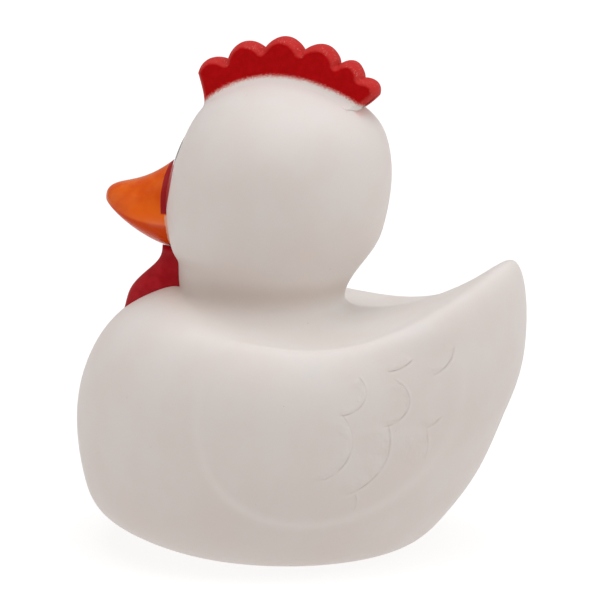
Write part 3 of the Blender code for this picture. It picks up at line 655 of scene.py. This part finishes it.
def comb_finish():
    """Red enamel: deep on the sides, lighter along the top, where the paint is thinner and rubbed pink and a
    painted highlight stands for light on the upturned lobes, with pale pink scuffs that are partly painted
    glints, and broken up at the root, where the bare white shows more towards the back."""
    enamel = Finish("comb_red", Roughness=0.4, Specular_IOR_Level=0.05)
    streaks = enamel.noise(1.1, 4.0, 0.6)
    fine = enamel.noise(0.28, 3.0, 0.7)
    colour = enamel.mixed(streaks.rising(0.35, 0.7), (0.45, 0.0, 0.001), (0.52, 0.0006, 0.003))
    # Lighter along the top edge: partly thin rubbed paint, partly a painted highlight on the upturned lobes.
    rim = (enamel.attribute("from_top_edge") + streaks * 0.7).rising(1.55, 1.0)
    colour = enamel.mixed(rim * 0.68, colour, (0.64, 0.050, 0.045))
    # Pale pink scuffs along the top, which also stand for painted glints.
    scuffs_and_glints = rim * fine.rising(0.54, 0.64) * enamel.noise(1.4, 2.0).rising(0.5, 0.6)
    colour = enamel.mixed(scuffs_and_glints * 0.6, colour, (0.75, 0.26, 0.24))
    bare_height = 0.85 + (enamel.y - HEAD_CENTRE_Y) * 0.025
    over_bare = enamel.attribute("above_skin") - bare_height + (fine - 0.5) * 1.3
    colour = enamel.mixed(over_bare.rising(0.45, -0.1), colour, (0.74, 0.30, 0.27))
    colour = enamel.mixed(over_bare.rising(0.05, -0.35), colour, (0.815, 0.775, 0.745))
    height = streaks * 0.05 + fine * 0.015 + rim * enamel.noise(0.5, 2.0) * 0.05
    roughness = 0.36 + rim * 0.12 + streaks * 0.1
    return enamel.made(colour, roughness, height)


dressed(comb, "hen", "comb_red", comb_finish(), "comb")


# ---- beak ----
# The real beak is part of the casting too, a blunt wedge with an upturned tip and a soft ridge along the
# mouth, in glossy orange enamel laid on thickly enough to pool into small beads and to leave a pale line.

BEAK_LENGTH = 13.0
BEAK_WIDTH = 13.0
BEAK_UPPER_HEIGHT = 11.0
BEAK_LOWER_HEIGHT = 5.0
BEAK_BELOW_HEAD_CENTRE = 7.0
BEAK_SINK = 0.8
BEAK_TIP_RISE = 3.7
BEAK_TIP_THICKNESS = 0.34
BEAK_ROOT_DEPTH = 3.2
BEAK_TIP_BLUNTNESS = 6
BEAK_UPPER_FALL = 1.25
BEAK_LOWER_FALL = (1.3, 0.85)
BEAK_WIDTH_FALL = (2.6, 0.55)
BEAK_SIDE_SQUARENESS = (0.85, 1.4)
BEAK_SECTIONS = 150
BEAK_SEGMENTS = 112


def beak_surface():
    """Sections from inside the head out to the tip: a squared half oval above the mouth, a shallower one
    below it, their sizes falling as powers of the share of the way out, the mouth rising as its square. Gives
    back the sections, the tip, and each point's height over the mouth."""
    root = HEAD_CENTRE[1] - HEAD_RADIUS + BEAK_SINK + BEAK_ROOT_DEPTH
    reach = BEAK_LENGTH + BEAK_ROOT_DEPTH
    share = np.sin(np.linspace(0, 1, BEAK_SECTIONS + 1)[:-1] * math.pi / 2)
    out = np.clip((share * reach - BEAK_ROOT_DEPTH) / BEAK_LENGTH, 0, 1)
    mouth = HEAD_CENTRE[2] - BEAK_BELOW_HEAD_CENTRE + BEAK_TIP_RISE * out ** 2
    tip = BEAK_TIP_THICKNESS * out * np.sqrt(1 - out ** BEAK_TIP_BLUNTNESS)
    upper = BEAK_UPPER_HEIGHT * ((1 - out) ** BEAK_UPPER_FALL + tip)
    lower = BEAK_LOWER_HEIGHT * (1 - out ** BEAK_LOWER_FALL[0]) ** BEAK_LOWER_FALL[1]
    half = BEAK_WIDTH / 2 * (1 - out ** BEAK_WIDTH_FALL[0]) ** BEAK_WIDTH_FALL[1]
    turn = np.arange(BEAK_SEGMENTS) * math.tau / BEAK_SEGMENTS
    lift = np.sin(turn)
    side = np.sign(np.cos(turn)) * np.abs(np.cos(turn)) ** np.where(lift > 0, *BEAK_SIDE_SQUARENESS)
    height = np.where(lift > 0, upper[:, None], lower[:, None]) * lift
    points = np.stack([half[:, None] * side, np.broadcast_to((root - share * reach)[:, None], height.shape),
                       mouth[:, None] + height], -1)
    return points, np.array([0, root - reach, mouth[-1]]), height


beak_points, beak_tip, over_mouth = beak_surface()
NOSTRIL = HEAD_CENTRE + np.array([4.0, -23.6, -2.6])
NOSTRIL_SIZE = np.array([1.6, 0.95, 0.5])
NOSTRIL_DEPTH = 0.22
beak_normals = outward(beak_points[::-1])[::-1]
from_nostril = (np.abs(beak_points * (1, 0, 0)) + beak_points * (0, 1, 1) - NOSTRIL) / NOSTRIL_SIZE
dent = NOSTRIL_DEPTH * np.exp(-(from_nostril ** 2).sum(-1))
beak_points = beak_points - dent[..., None] * beak_normals
beak = ring_surface("painted_beak", beak_points, (beak_points[0].mean(0), beak_tip))
keep_number(beak, "above_skin", above_skin(beak_points))
keep_number(beak, "over_mouth", over_mouth)


def beak_finish():
    """Glossy orange enamel, beaded, with a pale line at its lower root and the red of the face coming a little
    way out onto its upper root. It is brighter near the mouth, a painted highlight, and darker under the
    mouth, painted shade."""
    enamel = Finish("beak_orange", Roughness=0.25, Specular_IOR_Level=0.08, Coat_Roughness=0.06)
    pools = enamel.noise(3.0, 2.0)
    colour = enamel.mixed(pools.rising(0.35, 0.65), (0.76, 0.095, 0.002), (0.82, 0.135, 0.006))
    over = enamel.attribute("over_mouth")
    # Painted highlight: brighter orange near the mouth, towards the root.
    painted_highlight_near_mouth = over.rising(5.5, 0.8) * enamel.attribute("above_skin").rising(10.0, 5.0)
    colour = enamel.mixed(painted_highlight_near_mouth * 0.8, colour, (1.0, 0.165, 0.006))
    # Painted shade: darker orange under the mouth, where the beak faces down.
    colour = enamel.mixed(over.rising(0.25, -0.35) * 0.85, colour, (0.68, 0.055, 0.0))
    off_skin = enamel.attribute("above_skin")
    face = (off_skin + pools * 0.2).rising(1.2, 1.05) * over.rising(1.7, 2.1)
    colour = enamel.mixed(face, colour, (0.36, 0.010, 0.014))
    ragged = off_skin + enamel.noise(0.9, 3.0) * 0.5
    bare = ragged.rising(0.75, 0.5) * over.rising(2.0, 1.4)
    colour = enamel.mixed(bare * 0.85, colour, (0.86, 0.52, 0.38))
    beads = enamel.grains(1.5).rising(0.22, 0.0) * enamel.noise(2.4, 1.0).rising(0.55, 0.66)
    height = enamel.noise(1.9, 2.0) * 0.10 + beads * 0.12 + enamel.noise(0.5, 2.0) * 0.012
    roughness = 0.17 + enamel.noise(1.2, 2.0) * 0.12 + bare * 0.3
    coat = over.rising(-0.8, 0.3) * 0.22 + abs(over).rising(0.9, 0.2) * off_skin.rising(4.5, 2.5) * 0.5
    return enamel.made(colour, roughness, height, Coat_Weight=coat)


dressed(beak, "hen", "beak_orange", beak_finish(), "beak")


# ---- wattles ----
# The real wattles are two drops of the casting that hang side by side from under the beak and lie in the
# corner between throat and chest, in crimson enamel with a satin face.

# The front edge from under the beak down to the chest, as (y, z) from the head's centre.
WATTLE_FRONT = ((-20.4, -11.0), (-20.6, -12.6), (-22.8, -15.3), (-24.9, -17.2),
                (-26.4, -19.2), (-27.0, -21.2), (-27.2, -22.9))
WATTLE_TOP_Z, WATTLE_LOW_Z = -11.6, -24.2
WATTLE_INSIDE = 1.2
WATTLE_HALF_WIDTH = 3.05
WATTLE_TOP_SHARE = 0.42
WATTLE_RINGS = 90
WATTLE_SEGMENTS = 72

front_places = np.linspace(OUTER_KNOTS[FIRST_ROW + 3], OUTER_KNOTS[CROWN_ROW - 4], 300)
front_line = outer_skin(np.zeros(1), front_places)[:, 0]


def wattle_surface(side):
    """Sections along the drop, each a half oval from inside the skin out to the front edge. The front edge
    is a spline through its points, and the width swells from a narrow stalk to a full lower end."""
    front = np.array(WATTLE_FRONT) + HEAD_CENTRE[1:]
    knots = np.append(0, np.cumsum(np.linalg.norm(np.diff(front, axis=0), axis=1)))
    share = (1 - np.cos(np.linspace(0, math.pi, WATTLE_RINGS + 2)[1:-1])) / 2
    edge = spline_weights(knots, share * knots[-1]) @ front
    inner_z = HEAD_CENTRE[2] + WATTLE_TOP_Z + (WATTLE_LOW_Z - WATTLE_TOP_Z) * share
    inner_y = np.interp(inner_z, front_line[:, 2], front_line[:, 1]) + WATTLE_INSIDE
    inner = np.stack([inner_y, inner_z], -1)
    width = WATTLE_TOP_SHARE + (1 - WATTLE_TOP_SHARE) * eased(0.1, 0.62, share)
    width *= np.sqrt(1 - share ** 5) * eased(-0.03, 0.06, share)
    turn = np.linspace(0, math.tau, WATTLE_SEGMENTS, endpoint=False)
    out = np.sign(np.sin(turn)) * np.abs(np.sin(turn)) ** 0.85
    out = np.where(out > 0, out, 0.35 * out)
    middle = side * (WATTLE_HALF_WIDTH + GAP / 2)
    x = middle + WATTLE_HALF_WIDTH * width[:, None] * np.cos(turn)
    flat = inner[:, None] + (edge - inner)[:, None] * out[:, None]
    return np.concatenate([x[..., None], flat], -1)


def wattle_finish():
    """Crimson enamel, a little uneven."""
    enamel = Finish("wattle_red", Roughness=0.4, Specular_IOR_Level=0.12)
    patches = enamel.noise(2.0, 3.0)
    colour = enamel.mixed(patches.rising(0.3, 0.7), (0.36, 0.002, 0.008), (0.45, 0.010, 0.018))
    fine = enamel.noise(0.35, 3.0, 0.7)
    height = patches * 0.06 + fine * 0.012
    roughness = 0.28 + patches * 0.14
    return enamel.made(colour, roughness, height)


crimson = wattle_finish()
for side, node in ((1, "wattle_left"), (-1, "wattle_right")):
    rings = wattle_surface(side)
    drop = ring_surface("painted_" + node, rings, (rings[0].mean(0), rings[-1].mean(0)))
    dressed(drop, "hen", "wattle_red", crimson, node)


# ---- face patch and eyes ----
# The real face is painted on the head: a red oval round the root of the beak, and over its upper corners two
# tall black eyes in thick gloss, each with one white dot. Each film thins to nothing at its edge.

PATCH_WIDTH, PATCH_HEIGHT = 19.0, 12.6
PATCH_ABOVE_HEAD_CENTRE = 0.3
PATCH_FILM = 0.12
EYE_WIDTH, EYE_HEIGHT = 5.0, 7.2
EYE_BEARING = math.radians(15.5)
EYE_ELEVATION = math.radians(17.5)
EYE_FILM = 0.18
FILM_SINK, FILM_EDGE_SINK = 0.25, 0.06
FILM_SEGMENTS = 96
FILM_RINGS = 36


def film_surface(name, way, width, height, thickness, roundness):
    """A thin closed film on the head: an oval polar grid square to a way out of the head, laid onto the
    skin, its face raised by (1 - radius ** roundness) of the thickness and its back sunk into the skin."""
    way = way / np.linalg.norm(way)
    right = np.cross(way, (0, 0, 1))
    right /= np.linalg.norm(right)
    up = np.cross(right, way)
    turn = np.arange(FILM_SEGMENTS) * math.tau / FILM_SEGMENTS
    radius = np.sin(np.linspace(0, math.pi / 2, FILM_RINGS + 1)[1:])
    u = width / 2 * radius[:, None] * np.cos(turn)
    v = height / 2 * radius[:, None] * np.sin(turn)
    ahead = np.sqrt(HEAD_RADIUS ** 2 - u ** 2 - v ** 2)
    arms = (u[..., None] * right + v[..., None] * up + ahead[..., None] * way).reshape(-1, 3)
    arms /= np.linalg.norm(arms, axis=-1, keepdims=True)
    on_skin = skin_towards(arms).reshape(*u.shape, 3)
    arms = arms.reshape(*u.shape, 3)
    middle = skin_towards(way[None])[0]
    raised = thickness * (1 - radius ** roundness)[:, None, None]
    face = on_skin + arms * raised
    back = on_skin[:-1] - arms[:-1] * FILM_SINK
    rings = np.concatenate([back, on_skin[-1:] - arms[-1:] * FILM_EDGE_SINK, face[::-1]])
    piece = ring_surface(name, rings, (middle - way * FILM_SINK, middle + way * thickness))
    flat = np.stack([u, v], -1)
    spots = np.concatenate([flat, flat[::-1]])
    spots = np.vstack([spots.reshape(-1, 2), (0, 0), (0, 0)]) / (width, height) + 0.5
    corners = np.zeros(len(piece.data.loops), int)
    piece.data.loops.foreach_get("vertex_index", corners)
    piece.data.uv_layers.new(name="film").data.foreach_set("uv", spots[corners].ravel())
    return piece


def patch_finish():
    """Red enamel, thin and satin."""
    enamel = Finish("face_red", Roughness=0.35)
    patches = enamel.noise(1.8, 3.0)
    colour = enamel.mixed(patches.rising(0.3, 0.7), (0.36, 0.012, 0.018), (0.43, 0.022, 0.030))
    roughness = 0.3 + patches * 0.14
    height = patches * 0.04 + enamel.noise(0.35, 3.0, 0.7) * 0.012
    return enamel.made(colour, roughness, height)


def eye_finish():
    """Black gloss with a white dot, placed on the film's own map."""
    gloss = Finish("eye_black", Roughness=0.08, Coat_Roughness=0.04)
    spot = gloss.node("ShaderNodeTexCoord", output="UV")
    right, up = (gloss.node("ShaderNodeSeparateXYZ", {}, {0: spot}, axis) for axis in "XY")
    away = distance((right - 0.60) * EYE_WIDTH, (up - 0.72) * EYE_HEIGHT)
    dot = (away + gloss.noise(0.7, 2.0) * 0.12).rising(0.92, 0.82)
    depths = gloss.noise(1.5, 2.0)
    black = gloss.mixed(depths.rising(0.3, 0.7), (0.008, 0.007, 0.008), (0.014, 0.012, 0.012))
    colour = gloss.mixed(dot, black, (0.82, 0.81, 0.80))
    roughness = 0.07 + depths * 0.05 + dot * 0.1
    height = depths * 0.015 + dot * 0.05
    return gloss.made(colour, roughness, height, Coat_Weight=0.9 - dot * 0.3)


patch = film_surface("painted_face_patch", np.array([0, -1, PATCH_ABOVE_HEAD_CENTRE / HEAD_RADIUS]),
                     PATCH_WIDTH, PATCH_HEIGHT, PATCH_FILM, 8)
dressed(patch, "hen", "face_red", patch_finish(), "face_patch")
black = eye_finish()
for side, node in ((1, "eye_left"), (-1, "eye_right")):
    way = np.array([side * math.sin(EYE_BEARING) * math.cos(EYE_ELEVATION),
                    -math.cos(EYE_BEARING) * math.cos(EYE_ELEVATION), math.sin(EYE_ELEVATION)])
    eye = film_surface("painted_" + node, way, EYE_WIDTH, EYE_HEIGHT, EYE_FILM, 3)
    dressed(eye, "hen", "eye_black", black, node)


# ---- squeaker cup ----
# The real cup is one injection-moulded styrene piece, pushed up into the base until its bead snaps in. Its
# flange shows from below, with a raised ring and the hole that lets the air through.

CUP_WALL = 1.6
AIR_HOLE_RADIUS = 2.5
SNAP_BEAD_HEIGHT = 1.2
SNAP_BEAD_LENGTH = 2.4
SNAP_BEAD_CREST = 0.3
CHAMFER = 0.2
RING_HEIGHT = 0.15
RIM_WIDTH = 1.4
CUP_SEGMENTS = 144


def chamfered(outline, size):
    """A closed outline with each corner cut back by the size along both of its sides."""
    outline = np.array(outline)
    before = np.roll(outline, 1, 0) - outline
    after = np.roll(outline, -1, 0) - outline
    length_before = np.linalg.norm(before, axis=1, keepdims=True)
    length_after = np.linalg.norm(after, axis=1, keepdims=True)
    back = outline + before / length_before * np.minimum(size, length_before / 3)
    on = outline + after / length_after * np.minimum(size, length_after / 3)
    middle = (back + on + 2 * outline) / 4
    return np.stack([back, middle, on], 1).reshape(-1, 2)


def turned(name, outline, segments, sharp_deg=35):
    """A closed outline of (radius, height) points turned round the Z axis."""
    turn = np.arange(segments) * math.tau / segments
    way = np.stack([np.cos(turn), np.sin(turn), 0 * turn], -1)
    rings = outline[:, :1, None] * way + outline[:, 1, None, None] * np.array([0, 0, 1])
    return ring_surface(name, rings, sharp_deg=sharp_deg)


def cup_outline():
    """Half the cup's section: bore, floor, raised ring and rim, flange, snap bead and mouth."""
    low, top = cup_low[2], cup_high[2]
    face = low + RING_HEIGHT
    flange_top = low + FLANGE_THICKNESS
    bore = CUP_RADIUS - CUP_WALL
    bead_low = BASE_THICKNESS + GAP
    ring_inner, ring_outer = AIR_HOLE_RADIUS + 1.2, AIR_HOLE_RADIUS + 2.2
    rim = FLANGE_RADIUS - RIM_WIDTH
    return chamfered([
        (AIR_HOLE_RADIUS, face), (ring_inner, face), (ring_inner, low), (ring_outer, low),
        (ring_outer, face), (rim, face), (rim, low), (FLANGE_RADIUS, low), (FLANGE_RADIUS, flange_top),
        (CUP_RADIUS, flange_top), (CUP_RADIUS, bead_low),
        (CUP_RADIUS + SNAP_BEAD_HEIGHT, bead_low + SNAP_BEAD_CREST * SNAP_BEAD_LENGTH),
        (CUP_RADIUS, bead_low + SNAP_BEAD_LENGTH), (CUP_RADIUS, top), (bore, top), (bore, low + CUP_WALL),
        (AIR_HOLE_RADIUS, low + CUP_WALL)], CHAMFER)


def styrene_finish(name, light, dark, roughness):
    """Moulded styrene: a faint flow cloudiness and fine turning marks from the mould."""
    plastic = Finish(name, Specular_IOR_Level=0.5)
    flow = plastic.noise(4.0, 3.0, stretch=(1, 1, 0.4))
    off_axis = distance(plastic.x, plastic.y)
    marks = off_axis.maths("SINE", off_axis * 24.0)
    fine = plastic.noise(0.3, 2.0)
    colour = plastic.mixed(flow.rising(0.3, 0.7), dark, light)
    height = marks * 0.003 + fine * 0.006
    return plastic.made(colour, roughness + flow * 0.15, height)


cup = turned("moulded_squeaker_cup", cup_outline(), CUP_SEGMENTS)
cup_plastic = styrene_finish("squeaker_plastic", (0.74, 0.72, 0.66), (0.68, 0.66, 0.60), 0.3)
dressed(cup, "hen", "squeaker_plastic", cup_plastic, "squeaker_cup")


# ---- reed, seat and clamp ----
# The real reed is a strip of thin brass, pinched between two half-round styrene blocks pressed into the cup.

def brass_finish():
    """Rolled brass: fine marks along the strip and a warm uneven tarnish."""
    brass = Finish("reed_brass", Metallic=1.0)
    rolled = brass.noise(0.25, 3.0, 0.6, stretch=(1, 6, 0.25))
    tarnish = brass.noise(1.6, 3.0)
    colour = brass.mixed(tarnish.rising(0.4, 0.7), (0.74, 0.52, 0.20), (0.55, 0.34, 0.12))
    roughness = 0.22 + rolled * 0.12 + tarnish * 0.1
    return brass.made(colour, roughness, rolled * 0.006)


def finish_node(node, material):
    """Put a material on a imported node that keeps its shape."""
    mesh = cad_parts[node].data
    mesh.materials.clear()
    mesh.materials.append(material)


finish_node("reed", brass_finish())
block_plastic = styrene_finish("block_plastic", (0.72, 0.71, 0.68), (0.64, 0.63, 0.60), 0.34)
finish_node("reed_seat", block_plastic)
finish_node("reed_clamp", block_plastic)


# ---- ballast ring and its glue ----
# The real ballast is a flat steel washer, pressed into a pad of hot-melt glue poured round the squeaker.

def steel_finish():
    """Zinc-plated steel: turned marks, grey clouding and a few rust freckles."""
    steel = Finish("ballast_steel")
    clouds = steel.noise(3.0, 4.0)
    off_axis = distance(steel.x, steel.y)
    marks = off_axis.maths("SINE", off_axis * 40.0 + clouds * 3.0)
    rust = steel.noise(1.2, 4.0, 0.7).rising(0.62, 0.72)
    colour = steel.mixed(clouds.rising(0.3, 0.7), (0.42, 0.42, 0.44), (0.56, 0.56, 0.56))
    colour = steel.mixed(rust * 0.6, colour, (0.26, 0.11, 0.04))
    roughness = 0.32 + clouds * 0.15 + rust * 0.35
    return steel.made(colour, roughness, marks * 0.004 + rust * 0.03, Metallic=1 - rust * 0.8)


def glue_finish():
    """Hot-melt glue: amber, cloudy and glossy, with trapped bubbles."""
    glue = Finish("glue_amber", Specular_IOR_Level=0.45)
    clouds = glue.noise(2.5, 3.0)
    bubbles = glue.grains(1.1).rising(0.22, 0.1)
    colour = glue.mixed(clouds.rising(0.3, 0.7), (0.56, 0.42, 0.20), (0.68, 0.56, 0.33))
    colour = glue.mixed(bubbles * 0.4, colour, (0.78, 0.70, 0.52))
    return glue.made(colour, 0.2 + clouds * 0.15, clouds * 0.15 + bubbles * 0.05)


finish_node("ballast_ring", steel_finish())
finish_node("ballast_glue_pad", glue_finish())


# ---- floor, light and camera ----
# A white sweep in a white room that is brighter below the horizon, with five wide suns: from above, the near
# side, over the tail, behind the tail and ahead of the beak. The floor casts no shadow and no light on the
# toy, so the light of the room reaches the underside in its place.

FLOOR_HALF_SIZE = 3.0
FLOOR_DROP = 0.00005
FLOOR_GLOW = 0.78
ROOM_BELOW, ROOM_ABOVE, ROOM_BLEND = 0.65, 0.42, 0.05
ROOM_TINT = (1.045, 0.96, 0.925, 1.0)
SUN_TINT = (0.98, 1.005, 1.03)
SUN_SPREAD = math.radians(50)
bpy.context.scene.view_settings.view_transform = "Standard"

floor_mesh = bpy.data.meshes.new("floor")
floor_corners = [(x * FLOOR_HALF_SIZE, y * FLOOR_HALF_SIZE, -FLOOR_DROP)
                 for x, y in ((-1, -1), (1, -1), (1, 1), (-1, 1))]
floor_mesh.from_pydata(floor_corners, [], [(0, 1, 2, 3)])
floor = bpy.data.objects.new("floor", floor_mesh)
bpy.context.collection.objects.link(floor)
paper = Finish("floor_paper", Roughness=0.9, Emission_Color=(1, 1, 1, 1), Emission_Strength=FLOOR_GLOW)
fibres = paper.noise(1.5, 3.0)
floor_mesh.materials.append(paper.made(paper.mixed(fibres, (0.27, 0.27, 0.27), (0.29, 0.29, 0.29))))
floor.visible_diffuse = False
floor.visible_shadow = False

world = bpy.data.worlds.new("white_room")
world.use_nodes = True
room = world.node_tree
way = room.nodes.new("ShaderNodeTexCoord")
height = room.nodes.new("ShaderNodeSeparateXYZ")
strength = room.nodes.new("ShaderNodeMapRange")
for socket, value in (("From Min", -ROOM_BLEND), ("From Max", ROOM_BLEND),
                      ("To Min", ROOM_BELOW), ("To Max", ROOM_ABOVE)):
    strength.inputs[socket].default_value = value
room.links.new(way.outputs["Generated"], height.inputs[0])
room.links.new(height.outputs["Z"], strength.inputs["Value"])
room.links.new(strength.outputs[0], room.nodes["Background"].inputs["Strength"])
room.nodes["Background"].inputs["Color"].default_value = ROOM_TINT
bpy.context.scene.world = world


def soft_sun(name, strength, towards):
    """A sun lamp spread over a wide angle. It stands the given way from the toy and shines back at it."""
    lamp = bpy.data.lights.new(name, "SUN")
    lamp.energy = strength
    lamp.color = SUN_TINT
    lamp.angle = SUN_SPREAD
    holder = bpy.data.objects.new(name, lamp)
    bpy.context.collection.objects.link(holder)
    holder.rotation_euler = Vector(towards).to_track_quat("Z", "Y").to_euler()


soft_sun("top_light", 0.97, (0.0, 0.0, 1.0))
soft_sun("near_light", 0.38, (0.57, 0.16, 0.91))
soft_sun("tail_side_light", 0.46, (0.0, 0.73, 0.74))
soft_sun("tail_light", 0.24, (-0.18, 0.99, 0.32))
soft_sun("beak_light", 0.23, (0.37, -0.93, 0.32))

VIEW_AZIMUTH = math.radians(106)
VIEW_ELEVATION = math.radians(10.5)
VIEW_DISTANCE = 600.0
LENS = 204.5
SENSOR = 36.0
AIM_HEIGHT = 42.0
AIM_RIGHT, AIM_UP = 2.11, 1.14

back = Vector((math.sin(VIEW_AZIMUTH) * math.cos(VIEW_ELEVATION),
               -math.cos(VIEW_AZIMUTH) * math.cos(VIEW_ELEVATION), math.sin(VIEW_ELEVATION)))
right = Vector((math.cos(VIEW_AZIMUTH), math.sin(VIEW_AZIMUTH), 0))
up = back.cross(right)
aim = Vector((0, BODY_AXIS_Y, AIM_HEIGHT)) + AIM_RIGHT * right + AIM_UP * up
lens = bpy.data.cameras.new("view")
lens.lens = LENS
lens.sensor_width = SENSOR
camera = bpy.data.objects.new("view", lens)
camera.location = (aim + back * VIEW_DISTANCE) * MM
camera.rotation_euler = back.to_track_quat("Z", "Y").to_euler()
bpy.context.collection.objects.link(camera)
bpy.context.scene.camera = camera
